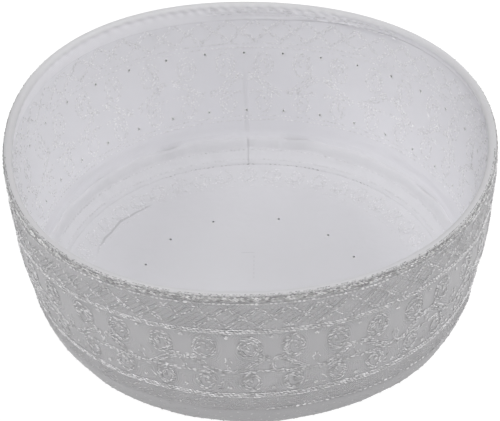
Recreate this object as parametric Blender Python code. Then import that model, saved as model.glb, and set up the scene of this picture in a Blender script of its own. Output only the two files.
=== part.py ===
"""Embroidered prayer cap, put down on its flat crown with the opening up.

The crown's outer face lies on z = 0, the origin is the middle of that face, +X goes to one ear and
+Y to the back of the cap, where the ends of the crown seam's tape meet. Units are metres.
"""
import math
from typing import NamedTuple

import bmesh
import bpy
from mathutils import Matrix, Vector

# Driving sizes of the whole cap
HALF_WIDTH = 0.0920           # outside of the rim, ear to ear
HALF_DEPTH = 0.0957           # outside of the rim, brow to nape
HEIGHT = 0.0740               # crown face to rim
EDGE_RADIUS = 0.0205          # round edge between the wall and the flat crown
CLOTH = 0.0022                # embroidered cloth with its backing
GAP = 0.0003                  # clearance between pieces that are sewn together

# How the soft wall runs from the rim to its foot
OUTLINE_POWER = 2.045         # 2 would be a plain ellipse
FOOT_WIDTH = 0.906            # foot of the wall as a share of the rim
FOOT_DEPTH = 1.008            # the same, extra from front to back
BULGE_SIDE = 0.0016           # how far the wall swells at the ears, half way down
BULGE_FRONT = -0.0005         # and at brow and nape
CROWN_SHIFT = 0.0012          # the crown has slipped this far to +X of the rim

# Rim hem: a strip that covers the raw edge and is turned to the inside
HEM_CLOTH = 0.0009
HEM_TOP = 0.0013              # height of the folded edge that shows outside
HEM_DROP = 0.0070             # height of the turned-in leg
HEM_ROUND = 0.0005

# Crown seam and the tape inside it, as angles round the crown edge
SEAM_TURN = math.radians(13.0)
TAPE_TOP_TURN = math.radians(17.0)
TAPE_LOW_TURN = math.radians(52.0)
TAPE_CLOTH = 0.0009
TAPE_END_GAP = math.radians(0.2)

# Eyelets
EYELET_COUNT = 36             # in each of the two rows round the wall
EYELET_RADIUS = 0.0008
EYELET_SIDES = 6
EYELET_ROW_DROPS = (0.0211, 0.0465)
EYELET_START = math.radians(91.0)
EYELET_DRIFT = math.radians(1.6)  # the pattern runs ahead of even spacing, most of all at the brow
CROWN_EYELET_RING = 0.0431    # radius of the ring of twelve in the crown
CROWN_EYELET_MIDDLE = (0.0004, 0.0043)
CROWN_EYELET_DEGREES = (22.0, 45.0, 75.0, 110.0, 137.0, 162.0)  # back half; the front half mirrors it
PUNCH_LENGTH = 0.012

# Facets
COLUMNS = 2 * EYELET_COUNT
TAPE_COLUMNS = 120

BACK = math.pi / 2
FULL_TURN = 2 * math.pi
WALL = HEIGHT - EDGE_RADIUS
LINED = CLOTH + GAP


class Lobe(NamedTuple):
    """One wave of the rim's outline, from the way the soft cap has settled."""
    waves: int
    swell: float
    towards: float


class Pucker(NamedTuple):
    """One small fold where the tape's upper edge stands off the wall."""
    middle: float
    width: float
    lift: float


class Cloth(NamedTuple):
    """Colour and surface of one piece."""
    name: str
    colour: tuple
    roughness: float


RIM_LOBES = (
    Lobe(waves=3, swell=0.009, towards=math.radians(9.0)),
    Lobe(waves=4, swell=-0.010, towards=math.radians(-3.0)),
)

TAPE_PUCKERS = (
    Pucker(middle=math.radians(14.0), width=math.radians(7.0), lift=0.0009),
    Pucker(middle=math.radians(33.0), width=math.radians(9.0), lift=0.0015),
    Pucker(middle=math.radians(48.0), width=math.radians(6.0), lift=0.0008),
    Pucker(middle=math.radians(78.0), width=math.radians(6.0), lift=0.0016),
    Pucker(middle=math.radians(112.0), width=math.radians(6.0), lift=0.0014),
    Pucker(middle=math.radians(137.0), width=math.radians(9.0), lift=0.0008),
    Pucker(middle=math.radians(171.0), width=math.radians(8.0), lift=0.0009),
    Pucker(middle=math.radians(214.0), width=math.radians(7.0), lift=0.0007),
    Pucker(middle=math.radians(256.0), width=math.radians(8.0), lift=0.0010),
    Pucker(middle=math.radians(301.0), width=math.radians(7.0), lift=0.0008),
    Pucker(middle=math.radians(338.0), width=math.radians(8.0), lift=0.0010),
)

BAND_CLOTH = Cloth("embroidered_cotton", (0.80, 0.80, 0.81, 1.0), 0.75)
CROWN_CLOTH = Cloth("quilted_cotton", (0.82, 0.82, 0.83, 1.0), 0.80)
HEM_FACING = Cloth("hem_cotton", (0.85, 0.85, 0.86, 1.0), 0.80)
TAPE_FACING = Cloth("tape_cotton", (0.84, 0.84, 0.86, 1.0), 0.80)


def clear_scene():
    for old in list(bpy.data.objects):
        bpy.data.objects.remove(old, do_unlink=True)


def rim_swell(angle):
    """Share by which the rim's outline is larger than the plain oval here."""
    return sum(lobe.swell * math.cos(lobe.waves * (angle - lobe.towards)) for lobe in RIM_LOBES)


def outline(angle, down):
    """Distance from the cap's axis to the outside of the wall; down is 0 at the rim, 1 at the foot."""
    depth_ratio = HALF_DEPTH / HALF_WIDTH * (1 + (FOOT_DEPTH - 1) * down)
    across = abs(math.cos(angle)) ** OUTLINE_POWER
    along = abs(math.sin(angle) / depth_ratio) ** OUTLINE_POWER
    oval = (across + along) ** (-1 / OUTLINE_POWER)
    taper = 1 - (1 - FOOT_WIDTH) * down
    bulge = BULGE_SIDE * math.cos(angle) ** 2 + BULGE_FRONT * math.sin(angle) ** 2
    width = HALF_WIDTH * taper + bulge * math.sin(math.pi * down)
    return oval * width * (1 + (1 - down) * rim_swell(angle))


def on_cap(angle, run, inset):
    """Point at an angle round the cap, a run down the cloth from the rim and an inset below its face.

    The run goes down the wall, round the crown edge and then over the flat crown to its middle.
    """
    down = min(run / WALL, 1.0)
    turn = min(max((run - WALL) / EDGE_RADIUS, 0.0), math.pi / 2)
    over_crown = max(run - WALL - EDGE_RADIUS * math.pi / 2, 0.0)
    radius = outline(angle, down) - EDGE_RADIUS * (1 - math.cos(turn)) - over_crown
    radius -= inset * math.cos(turn)
    height = HEIGHT - WALL * down - EDGE_RADIUS * math.sin(turn) + inset * math.sin(turn)
    return Vector((CROWN_SHIFT * down + radius * math.cos(angle), radius * math.sin(angle), height))


def run_at_turn(turn):
    """Run along the cloth to an angle round the crown edge."""
    return WALL + EDGE_RADIUS * turn


def steps(first, last, count):
    """Evenly spaced values, both ends included."""
    return [first + (last - first) * i / (count - 1) for i in range(count)]


def eyelet_angle(place):
    """Angle of an eyelet counted round from the back; a fraction falls between two eyelets."""
    even = FULL_TURN * place / EYELET_COUNT
    return EYELET_START + even + EYELET_DRIFT * (1 - math.cos(even))


def ring_angles(columns):
    """Angles of the facet edges, set so that each eyelet falls in the middle of a facet."""
    return [eyelet_angle((i + 0.5) * EYELET_COUNT / columns) for i in range(columns)]


def add_material(obj, cloth):
    material = bpy.data.materials.new(cloth.name)
    material.use_nodes = True
    shader = material.node_tree.nodes["Principled BSDF"]
    shader.inputs["Base Color"].default_value = cloth.colour
    shader.inputs["Roughness"].default_value = cloth.roughness
    shader.inputs["Metallic"].default_value = 0.0
    material.diffuse_color = cloth.colour
    obj.data.materials.append(material)


def add_object(name, bm, cloth=None):
    """Finish a bmesh as a smooth-shaded object of its own."""
    bmesh.ops.recalc_face_normals(bm, faces=bm.faces)
    mesh = bpy.data.meshes.new(name)
    bm.to_mesh(mesh)
    bm.free()
    obj = bpy.data.objects.new(name, mesh)
    bpy.context.scene.collection.objects.link(obj)
    mesh.shade_smooth()
    mesh.set_sharp_from_angle(angle=math.radians(40.0))
    if cloth:
        add_material(obj, cloth)
    return obj


def add_ring(bm, angles, run, inset):
    return [bm.verts.new(on_cap(angle, run, inset)) for angle in angles]


def join_rings(bm, first, second, closed=True):
    """Quads between two rings of the same number of points."""
    count = len(first)
    for i in range(count if closed else count - 1):
        j = (i + 1) % count
        bm.faces.new((first[i], first[j], second[j], second[i]))


def ring_solid(bm, angles, corners):
    """Closed solid that goes all the way round, from the (run, inset) corners of its section."""
    rings = [add_ring(bm, angles, run, inset) for run, inset in corners]
    for i, ring in enumerate(rings):
        join_rings(bm, ring, rings[(i + 1) % len(rings)])


def punch(obj, punches):
    """Cut the eyelets with a hidden cutter."""
    punches.hide_render = True
    punches.display_type = "WIRE"
    cut = obj.modifiers.new("eyelets", "BOOLEAN")
    cut.operation = "DIFFERENCE"
    cut.object = punches


def add_punch(bm, middle, direction):
    """One six-sided punch centred on a point of the cloth."""
    tilt = direction.to_track_quat("Z", "Y").to_matrix().to_4x4()
    bmesh.ops.create_cone(
        bm, cap_ends=True, segments=EYELET_SIDES, radius1=EYELET_RADIUS, radius2=EYELET_RADIUS,
        depth=PUNCH_LENGTH, matrix=Matrix.Translation(middle) @ tilt)


def band_punches():
    """Punches for the two rows of eyelets round the wall."""
    bm = bmesh.new()
    for drop in EYELET_ROW_DROPS:
        for i in range(EYELET_COUNT):
            angle = eyelet_angle(i)
            outward = Vector((math.cos(angle), math.sin(angle), 0.0))
            add_punch(bm, on_cap(angle, drop, CLOTH / 2), outward)
    return add_object("band_punches", bm)


def crown_punches():
    """Punches for the ring of eyelets in the crown."""
    bm = bmesh.new()
    middle = Vector((*CROWN_EYELET_MIDDLE, CLOTH / 2))
    for side in (1, -1):
        for degrees in CROWN_EYELET_DEGREES:
            angle = side * math.radians(degrees)
            spoke = Vector((math.cos(angle), math.sin(angle), 0.0))
            add_punch(bm, middle + CROWN_EYELET_RING * spoke, Vector((0.0, 0.0, 1.0)))
    return add_object("crown_punches", bm)


def build_side_band():
    """The embroidered wall, from under the rim hem to the crown seam, with two rows of eyelets."""
    half_cell = 0.0030
    upper, lower = EYELET_ROW_DROPS
    runs = [HEM_TOP + GAP, 0.0080, 0.0135, upper - half_cell, upper + half_cell, 0.0300, 0.0365,
            lower - half_cell, lower + half_cell, run_at_turn(0.0), run_at_turn(SEAM_TURN) - GAP / 2]
    outside = [(run, 0.0) for run in runs]
    inside = [(run, CLOTH) for run in reversed(runs)]
    bm = bmesh.new()
    ring_solid(bm, ring_angles(COLUMNS), outside + inside)
    band = add_object("side_band", bm, BAND_CLOTH)
    punch(band, band_punches())
    return band


def build_crown_panel():
    """The flat crown with its turned-up round edge and a ring of eyelets."""
    turns = steps(run_at_turn(SEAM_TURN) + GAP / 2, run_at_turn(math.pi / 2), 6)
    angles = ring_angles(COLUMNS)
    bm = bmesh.new()
    outside = [add_ring(bm, angles, run, 0.0) for run in turns]
    inside = [add_ring(bm, angles, run, CLOTH) for run in turns]
    for skin in (outside, inside):
        for upper, lower in zip(skin, skin[1:]):
            join_rings(bm, upper, lower)
        bm.faces.new(skin[-1])
    join_rings(bm, outside[0], inside[0])
    crown = add_object("crown_panel", bm, CROWN_CLOTH)
    punch(crown, crown_punches())
    return crown


def build_rim_hem():
    """Strip folded over the wall's raw edge: flush outside, a flat leg inside."""
    inner = LINED + HEM_CLOTH
    corners = (
        (HEM_TOP, 0.0),
        (HEM_ROUND, 0.0),
        (0.0, HEM_ROUND),
        (0.0, inner - HEM_ROUND),
        (HEM_ROUND, inner),
        (HEM_DROP, inner),
        (HEM_DROP, LINED),
        (HEM_TOP, LINED),
    )
    bm = bmesh.new()
    ring_solid(bm, ring_angles(COLUMNS), corners)
    return add_object("rim_hem", bm, HEM_FACING)


def tape_lift(angle, share):
    """How far the tape stands off the wall; share is 0 at its upper edge and 1 at its stitched edge."""
    lift = 0.0
    for pucker in TAPE_PUCKERS:
        away = abs(angle % FULL_TURN - pucker.middle) / pucker.width
        if away < 1.0:
            lift += pucker.lift * math.cos(away * math.pi / 2) ** 2
    return lift * (1 - share) ** 2


def build_crown_seam_tape():
    """Tape over the seam's turned edges, sewn to the crown, its two ends meeting at the back."""
    span = FULL_TURN - TAPE_END_GAP
    angles = steps(BACK + TAPE_END_GAP / 2, BACK + TAPE_END_GAP / 2 + span, TAPE_COLUMNS)
    shares = steps(0.0, 1.0, 4)
    top, low = run_at_turn(TAPE_TOP_TURN), run_at_turn(TAPE_LOW_TURN)
    bm = bmesh.new()

    def ring(share, inset):
        run = top + (low - top) * share
        return [bm.verts.new(on_cap(a, run, inset + tape_lift(a, share))) for a in angles]

    back = [ring(share, LINED) for share in shares]
    face = [ring(share, LINED + TAPE_CLOTH) for share in reversed(shares)]
    rings = back + face
    for i, here in enumerate(rings):
        join_rings(bm, here, rings[(i + 1) % len(rings)], closed=False)
    for end in (0, -1):
        bm.faces.new([one[end] for one in rings])
    return add_object("crown_seam_tape", bm, TAPE_FACING)


def main():
    clear_scene()
    build_side_band()
    build_crown_panel()
    build_rim_hem()
    build_crown_seam_tape()


main()
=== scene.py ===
"""Finished look of an embroidered prayer cap that rests on its flat crown with its opening up.

The embroidery is laid out flat, as it is sewn: across is the distance along the band and run is
the distance down the cloth from the rim. Each stitch is then set on the curved cap. Units are metres.
"""
import math
from contextlib import contextmanager

import bpy
import numpy as np
from bpy.props import FloatProperty, FloatVectorProperty, PointerProperty
from mathutils import Matrix, Vector


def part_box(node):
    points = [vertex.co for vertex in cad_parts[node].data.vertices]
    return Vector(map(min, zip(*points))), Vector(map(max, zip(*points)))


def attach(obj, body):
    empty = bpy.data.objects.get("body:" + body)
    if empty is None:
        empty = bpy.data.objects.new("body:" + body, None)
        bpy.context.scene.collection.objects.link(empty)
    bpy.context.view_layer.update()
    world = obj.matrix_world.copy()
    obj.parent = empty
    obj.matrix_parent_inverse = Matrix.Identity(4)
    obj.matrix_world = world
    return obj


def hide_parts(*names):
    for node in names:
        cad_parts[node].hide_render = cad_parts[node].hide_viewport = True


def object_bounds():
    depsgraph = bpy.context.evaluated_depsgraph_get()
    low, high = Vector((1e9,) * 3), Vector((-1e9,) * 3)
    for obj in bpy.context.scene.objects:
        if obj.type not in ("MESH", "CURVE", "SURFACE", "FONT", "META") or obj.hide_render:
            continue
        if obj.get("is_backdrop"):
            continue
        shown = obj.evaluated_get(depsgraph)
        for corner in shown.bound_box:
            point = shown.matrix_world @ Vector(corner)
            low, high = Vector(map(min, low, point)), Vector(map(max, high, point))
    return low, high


bl_info = {
    "name": "Embroidered Prayer Cap",
    "version": (1, 0, 0),
    "blender": (4, 5, 0),
    "location": "View3D > Sidebar > Prayer Cap",
    "description": "Dresses a prayer cap with sewn cloth, embroidery, hem and tape",
    "category": "Add Mesh",
}

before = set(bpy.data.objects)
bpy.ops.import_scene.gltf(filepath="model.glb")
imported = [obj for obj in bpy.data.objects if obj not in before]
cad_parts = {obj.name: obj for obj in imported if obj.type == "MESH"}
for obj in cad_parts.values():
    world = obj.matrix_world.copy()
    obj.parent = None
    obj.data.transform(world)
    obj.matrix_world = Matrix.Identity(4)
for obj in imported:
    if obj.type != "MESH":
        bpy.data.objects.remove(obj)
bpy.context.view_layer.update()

MM = 0.001
IN_MM = 1000.0                    # from metres, in the materials
BODY = "root"
FULL_TURN = 2 * math.pi

# Form of the soft wall, as in the cap's solids
OUTLINE_POWER = 2.045
FOOT_WIDTH = 0.906
FOOT_DEPTH = 1.008
BULGE_SIDE = 1.6 * MM
BULGE_FRONT = -0.5 * MM
CROWN_SHIFT = 1.2 * MM
RIM_LOBES = ((3, 0.009, math.radians(9.0)), (4, -0.010, math.radians(-3.0)))  # waves, swell, towards
FLAT_RUN = 64.5 * MM              # from the crown edge to the middle of the crown
RELIEF_WAVES = (                  # height in mm, waves round the cap, start, lean
    (0.22, 5, 1.3, 45), (0.16, 9, 0.4, -60), (0.10, 17, 2.1, 90), (0.05, 31, 0.0, -130),
)
PUFFED_BANDS = ((4.8, 17.9), (17.9, 51.5))   # held down at these runs, in mm, and puffed between
PUFF_HEIGHT = 0.20
BACK_SEAM = math.radians(90.8)
BACK_SEAM_DEPTH = 0.28

# The eyelets set out the whole pattern
EYELETS = 36
EYELET_START = math.radians(91.0)
EYELET_DRIFT = math.radians(1.6)
EYELET_STEP = 16.0 * MM           # from eyelet to eyelet on the flat pattern
BAND_LENGTH = EYELETS * EYELET_STEP
EYELET_ROWS = (21.1 * MM, 46.5 * MM)
EYELET_RADIUS = 0.52 * MM
EYELET_PINCH = 1.7 * MM           # how far round an eyelet the cloth is drawn in
AT_EYELET = 0.1 * MM
CROWN_EYELET_RING = 43.1 * MM
CROWN_EYELET_MIDDLE = (0.4 * MM, 4.3 * MM)
CROWN_EYELET_DEGREES = (22.0, 45.0, 75.0, 110.0, 137.0, 162.0)

# Edges and seams
BAND_TOP = 1.6 * MM               # raw edge of the band, hidden in the hem
SEAM_TURN = math.radians(13.0)
SEAM_GAP = 0.3 * MM
FOLD_CORNER = 1.1 * MM            # how far the hem's fold reaches down from the rim
HEM_OUTSIDE = 1.3 * MM            # height of the folded edge outside
HEM_LEG = 5.0 * MM                # modelled length of the leg inside, before it is drawn to its depth
HEM_THINNING = 1.1 * MM           # how much nearer the cloth its lower edge lies
BROW_HEM = 3.9 * MM               # depth of the hem inside, at the brow and at the nape
NAPE_HEM = 7.0 * MM
HEM_DEEPENS = (48, 90)            # from and to, in degrees round the cap
HEM_NARROWS = (255, 330)
HEM_CREASE_STEPS = (4.6 * MM, 5.0 * MM)   # from crease to crease, across and down
HEM_CREASE_HEIGHT = 0.38 * MM
LOWER_EDGE_ROWS = (18.5, 20.5)    # rows of the hem's section between which its lower edge lies
TAPE_TOP_TURN = math.radians(17.0)
TAPE_LOW_TURN = math.radians(52.0)
TAPE_PUCKERS = (                  # middle and width in degrees, lift in mm
    (14, 7, 0.4), (33, 9, 0.6), (48, 6, 0.4), (78, 5, 1.4), (113, 5, 1.3), (137, 9, 0.4),
    (171, 8, 0.4), (214, 7, 0.4), (256, 8, 0.5), (301, 7, 0.4), (338, 8, 0.5),
)

# Rows of stitches, in mm down from the rim
ROPE_RUNS = (1.10, 1.70, 2.30)
RUNNING_LINE_RUN = 2.9
CHAIN_RUN = 4.1
BRAID_RUNS = {"upper_braid": 17.9, "lower_braid": 50.1}
FOOT_RUNS = (52.6, 54.0, 55.3, 56.4)
SEAM_DASH_RUN = 57.0
SEAM_SHOWS = 284.0                # mm across from which the dashes over the crown seam show
CROWN_EDGE_RUNS = np.arange(60.0, 80.0, 2.2)
CROWN_FLECK_RUNS = (71.9, 76.0, 80.2, 83.6)
CROWN_CURL_RUN = 77.5
TAPE_STITCH_RUNS = (69.9, 65.3)
HEM_STITCH_RUNS = (1.9, 2.9, 3.9)
ROW_DRIFT = 1.0 * MM              # how far the rows run off level
ROW_DRIFT_TURN = math.radians(175.0)

# Small stitches, as length, width and height
LINE_STITCH = (0.0020, 0.0004, 0.0003)
OVERCAST_STITCH = (0.00105, 0.00036, 0.00018)
RING_STITCH = (0.00095, 0.00080, 0.00045)
RING_BACK_STITCH = (0.00080, 0.00045, 0.00028)
FOOT_STITCH = (0.0011, 0.0004, 0.0003)
EDGE_STITCH = (0.0010, 0.0004, 0.0002)
HEM_STITCH = (0.0022, 0.0004, 0.00025)
TAPE_EDGE_STITCH = (0.0012, 0.0005, 0.0004)

# Stretches of the rim, in degrees round the cap
BROW_HALF = (186, 354)
NAPE_STITCHES = (50, 100)
NAPE_TAPE = (52, 118)

# Lattice and scroll
LATTICE_DIAMONDS = 54
LATTICE_STEP = BAND_LENGTH / LATTICE_DIAMONDS
LATTICE_FIRST = 6.3 * MM
LATTICE_TOP = 6.2 * MM
LATTICE_BOTTOM = 15.9 * MM
LATTICE_LEAN = LATTICE_STEP / (LATTICE_BOTTOM - LATTICE_TOP)
LATTICE_KNOT = ((-0.7, 5.9, 0.3), (0.7, 5.9, -0.3), (0.0, 6.9, 1.57), (0.0, 15.6, 1.57), (0.6, 16.2, 0.0))
LATTICE_BAND = (6.0, 16.0)        # from and to, in mm of run
SCROLL_BAND = (20.5, 48.5)
CURL_NARROW = 0.68                # width of a curl over its height
LEAVES = ((13.3, 43.6, 2.2), (12.2, 45.0, 2.2), (12.7, 47.0, 0.3))   # beside a lower eyelet

# Marks on the crown's inside, in mm across and back from the cap's middle
CREASE_MIDDLE = (-11.25, 15.8)    # middle of the circle that the crease follows
CREASE_RADII = (48.6, 49.8)
CREASE_SHOWS = ((-48.9, -27.0), (4.0, 60.0))   # from that middle
TICK = ((-3.5, 1.9), (23.9, 24.7))
DASHES = ((0.7, 1.5), (7.0, 23.3))
DASH_STEP = 2.6
SMUDGE_PLACE = (-0.0640, 0.0440, 0.0120)       # in metres

THREADS = {                       # colour and its share, roughness, specular, darkest tone, coat
    "silk_thread": ("thread", 1.0, 0.27, 1.0, 0.66, 0.7),
    "rope_thread": ("rope", 1.0, 0.25, 1.0, 0.42, 0.7),
    "overcast_thread": ("rope", 0.72, 0.25, 1.0, 0.42, 0.7),
    "braid_thread": ("braid", 1.0, 0.25, 1.0, 0.70, 0.8),
    "quilting_thread": ("rope", 1.0, 0.40, 0.5, 0.82, 0.0),
    "backing_thread": ("backing", 1.0, 0.30, 0.9, 0.80, 0.0),
    "crown_backing": ("crown_backing", 1.0, 0.45, 0.4, 0.80, 0.0),
    "grey_thread": ("rim", 1.0, 0.5, 0.3, 0.64, 0.0),
}

# Camera, at the photograph's angle and framing
CAMERA_TARGET = Vector((0.00026, 0.0, 0.04043))
CAMERA_DISTANCE = 1.1137
CAMERA_ELEVATION = math.radians(36.37)
CAMERA_ROLL = math.radians(0.951)
CAMERA_LENS = 213.3

LAMPS = (                         # name, place, size and power
    ("front_top", (0.0, -0.72, 1.28), 0.7, 12.7),
    ("left_side", (-1.25, 0.0, 0.7), 0.35, 2.7),
    ("left_high", (-0.95, -0.1, 1.1), 0.4, 4.0),
    ("right_side", (1.25, 0.0, 0.7), 0.5, 2.9),
    ("right_high", (0.95, -0.1, 1.1), 0.4, 2.1),
    ("right_back", (0.9, 0.9, 0.6), 0.9, 5.9),
)


def smooth_step(low, high, value):
    """0 below low, 1 above high and an even curve between them."""
    share = np.clip((value - low) / (high - low), 0.0, 1.0)
    return share * share * (3 - 2 * share)


def length_property(name, description, default):
    """A size that a user may change."""
    return FloatProperty(name=name, description=description, default=default, unit="LENGTH")


def stitch_property(name, description, *size):
    """Length, width and height of one kind of stitch."""
    return FloatVectorProperty(name=name, description=description, default=size, unit="LENGTH")


def colour_property(name, description, *shade):
    """A colour that a user may change."""
    return FloatVectorProperty(name=name, description=description, default=shade, subtype="COLOR")


class CapForm(bpy.types.PropertyGroup):
    """Sizes of the cap's cloth."""
    half_width: length_property("Half width", "Outside of the rim, ear to ear", 0.0920)
    half_depth: length_property("Half depth", "Outside of the rim, brow to nape", 0.0957)
    height: length_property("Height", "Crown face to rim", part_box("rim_hem")[1].z)
    edge_radius: length_property("Crown edge", "Radius of the rounding between wall and crown", 0.0205)
    cloth: length_property("Cloth", "Thickness of the embroidered cloth", 0.0022)
    facing: length_property("Facing", "Thickness of the hem and tape", 0.0009)


class CapThread(bpy.types.PropertyGroup):
    """Sizes of the stitches, as length, width and height."""
    rope: stitch_property("Rim rope", "Stitch of the rope under the rim", 0.00135, 0.00062, 0.00044)
    chain: stitch_property("Chain", "Stitch of the chain below the rope", 0.00140, 0.00090, 0.00065)
    braid: stitch_property("Braid", "Stitch of the two braid lines", 0.00160, 0.00052, 0.00046)
    lattice: stitch_property("Lattice", "Stitch of the lattice", 0.00125, 0.00055, 0.00050)
    scroll: stitch_property("Scroll", "Stitch of curls, vine and blossoms", 0.00160, 0.00048, 0.00050)
    seam: stitch_property("Seam", "Stitch of the crown seam", 0.00150, 0.00070, 0.00055)
    fleck: stitch_property("Fleck", "Stitch as it shows on the inside", 0.00100, 0.00056, 0.00026)


class CapColours(bpy.types.PropertyGroup):
    """Colours of cloth, thread and stage."""
    # The outside is greyer than the same white cloth inside: painted shade of the outer wall.
    outside: colour_property("Outside", "Ground cloth outside", 0.517, 0.511, 0.526)
    inside: colour_property("Inside", "Ground cloth inside", 0.785, 0.780, 0.810)
    # Crown inside, tape and crown backing are darker than the inside cloth: painted shade that evens out the
    # stronger light on the upturned crown.
    crown_inside: colour_property("Crown inside", "Crown cloth inside", 0.665, 0.661, 0.686)
    tape: colour_property("Tape", "Tape over the crown seam", 0.690, 0.686, 0.710)
    # The hem is lighter than the inside cloth: painted light that evens out the shade on its leg, which
    # leans away from the lamps.
    facing: colour_property("Hem", "Hem strip", 0.940, 0.934, 0.962)
    # The underside is darker still: painted shade of the crown edge, which the glowing floor lights from
    # below.
    underside: colour_property("Underside", "Crown outside", 0.28, 0.28, 0.285)
    # The rim is darker than the hem: painted shade on the top of the fold. The grey thread of the tape's
    # edge takes the same colour.
    rim: colour_property("Rim", "Top of the rim's fold", 0.585, 0.581, 0.598)
    backing: colour_property("Backing", "Thread as it shows inside", 0.97, 0.965, 0.98)
    crown_backing: colour_property("Crown backing", "Thread inside on crown and tape", 0.79, 0.785, 0.81)
    # Thread and rope outside are greyer than the backing, the same thread inside: painted shade of the outer
    # wall. The rope is darker still, as painted shadow under the rim, and the quilting and overcast threads
    # share its colour.
    thread: colour_property("Thread", "Embroidery thread", 0.740, 0.731, 0.745)
    braid: colour_property("Braid", "Thread of the two braids", 0.86, 0.85, 0.865)
    rope: colour_property("Rope", "Thread of the rope under the rim", 0.66, 0.652, 0.658)
    floor: colour_property("Floor", "Pale floor", 0.10, 0.10, 0.10)


class CapSurface:
    """The cap's cloth as a surface, reached by an angle round it and a run down from the rim."""

    def __init__(self, form):
        self.form = form
        self.wall = form.height - form.edge_radius
        self.edge_end = self.wall + form.edge_radius * math.pi / 2
        self.lined = form.cloth + SEAM_GAP

    def run_at(self, turn):
        """Run to an angle round the crown edge."""
        return self.wall + self.form.edge_radius * turn

    def outline(self, angle, down):
        """Distance from the axis to the outside of the wall; down is 0 at the rim, 1 at the foot."""
        form = self.form
        depth_ratio = form.half_depth / form.half_width * (1 + (FOOT_DEPTH - 1) * down)
        cosine, sine = np.cos(angle), np.sin(angle)
        oval = np.abs(cosine) ** OUTLINE_POWER + np.abs(sine / depth_ratio) ** OUTLINE_POWER
        swell = sum(size * np.cos(waves * (angle - towards)) for waves, size, towards in RIM_LOBES)
        width = form.half_width * (1 - (1 - FOOT_WIDTH) * down)
        width = width + (BULGE_SIDE * cosine ** 2 + BULGE_FRONT * sine ** 2) * np.sin(np.pi * down)
        return oval ** (-1 / OUTLINE_POWER) * width * (1 + (1 - down) * swell)

    def relief(self, angle, run):
        """How far the soft cloth stands out: it settles in slow waves and puffs up between its rows."""
        raised = sum(height * np.sin(waves * angle + start + lean * run)
                     for height, waves, start, lean in RELIEF_WAVES)
        level = (run - drift_at(angle)) / MM
        for low, high in PUFFED_BANDS:
            share = np.clip((level - low) / (high - low), 0.0, 1.0)
            raised = raised + PUFF_HEIGHT * np.sin(np.pi * share) ** 2
        seam = BACK_SEAM + 0.012 * np.sin(run * 160.0)
        from_seam = (angle - seam + math.pi) % FULL_TURN - math.pi
        groove = BACK_SEAM_DEPTH * np.exp(-(from_seam / math.radians(1.3)) ** 2)
        groove = groove * smooth_step(0.026, 0.036, run)
        held = smooth_step(0.0, 0.006, run) * (1 - smooth_step(0.066, self.edge_end, run))
        return (raised - groove) * held * MM

    def fold(self, turn):
        """Run and inset of the hem's fold over the rim, from outside at 0 to inside at half a turn."""
        inner = self.lined + self.form.facing
        return FOLD_CORNER * (1 - np.sin(turn) ** 0.8), inner / 2 * (1 - np.cos(turn))

    def point(self, angle, run, inset=0.0):
        """Points at an inset below the outer face, whose relief evens out towards the inside."""
        form = self.form
        down = np.clip(run / self.wall, 0.0, 1.0)
        turn = np.clip((run - self.wall) / form.edge_radius, 0.0, math.pi / 2)
        over_crown = np.clip((run - self.edge_end) / FLAT_RUN, 0.0, 1.0)
        evened = 1 - 0.75 * np.clip(inset / form.cloth, 0.0, 1.0)
        inset = inset - self.relief(angle, run) * evened
        radius = self.outline(angle, down) - form.edge_radius * (1 - np.cos(turn))
        radius = radius * (1 - over_crown) - inset * np.cos(turn)
        height = form.height - self.wall * down - form.edge_radius * np.sin(turn) + inset * np.sin(turn)
        shift = CROWN_SHIFT * down
        return np.stack((shift + radius * np.cos(angle), radius * np.sin(angle), height), axis=-1)

    def frames(self, angle, run, inset=0.0):
        """Points with their directions round the cap, down the run and out of the cloth."""
        step = 0.1 * MM
        here = self.point(angle, run, inset)
        around = self.point(angle + step / self.form.half_width, run, inset) - here
        down = self.point(angle, run + step, inset) - here
        around /= np.linalg.norm(around, axis=-1, keepdims=True)
        down /= np.linalg.norm(down, axis=-1, keepdims=True)
        out = np.cross(down, around)
        out /= np.linalg.norm(out, axis=-1, keepdims=True)
        return here, around, down, out


def pattern_angle(across):
    """Angle round the cap of a distance along the flat band."""
    even = FULL_TURN * across / BAND_LENGTH
    return EYELET_START + even + EYELET_DRIFT * (1 - np.cos(even))


def drift_at(angle):
    """How far the sewn rows run off level at an angle round the cap."""
    return ROW_DRIFT * np.cos(angle + ROW_DRIFT_TURN)


def row_drift(across):
    return drift_at(pattern_angle(across))


# Modelling helpers

@contextmanager
def editing(obj, chosen=None):
    """Edit mode on one object, with the chosen vertices selected, or all of them."""
    mesh = obj.data
    count = len(mesh.vertices)
    picked = np.ones(count, bool) if chosen is None else chosen
    mesh.polygons.foreach_set("select", np.zeros(len(mesh.polygons), bool))
    mesh.edges.foreach_set("select", np.zeros(len(mesh.edges), bool))
    mesh.vertices.foreach_set("select", picked)
    bpy.context.view_layer.objects.active = obj
    bpy.ops.object.mode_set(mode="EDIT")
    bpy.ops.mesh.select_mode(type="VERT")
    yield
    bpy.ops.object.mode_set(mode="OBJECT")


def deselect_all():
    if bpy.context.object and bpy.context.object.mode != "OBJECT":
        bpy.ops.object.mode_set(mode="OBJECT")
    bpy.ops.object.select_all(action="DESELECT")


def read(items, name, kind=np.int32, width=1):
    """One property of all the items, as a flat array."""
    values = np.empty(len(items) * width, kind)
    items.foreach_get(name, values)
    return values


def keep_values(mesh, name, values):
    """Keep a number at each vertex, for the materials to read."""
    layer = mesh.attributes.new(name, "FLOAT", "POINT")
    layer.data.foreach_set("value", np.asarray(values, np.float32))


def coordinates(mesh):
    return read(mesh.vertices, "co", np.float32, 3).reshape(-1, 3).astype(float)


def set_coordinates(mesh, points):
    mesh.vertices.foreach_set("co", np.asarray(points, np.float32).ravel())
    mesh.update()


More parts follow.
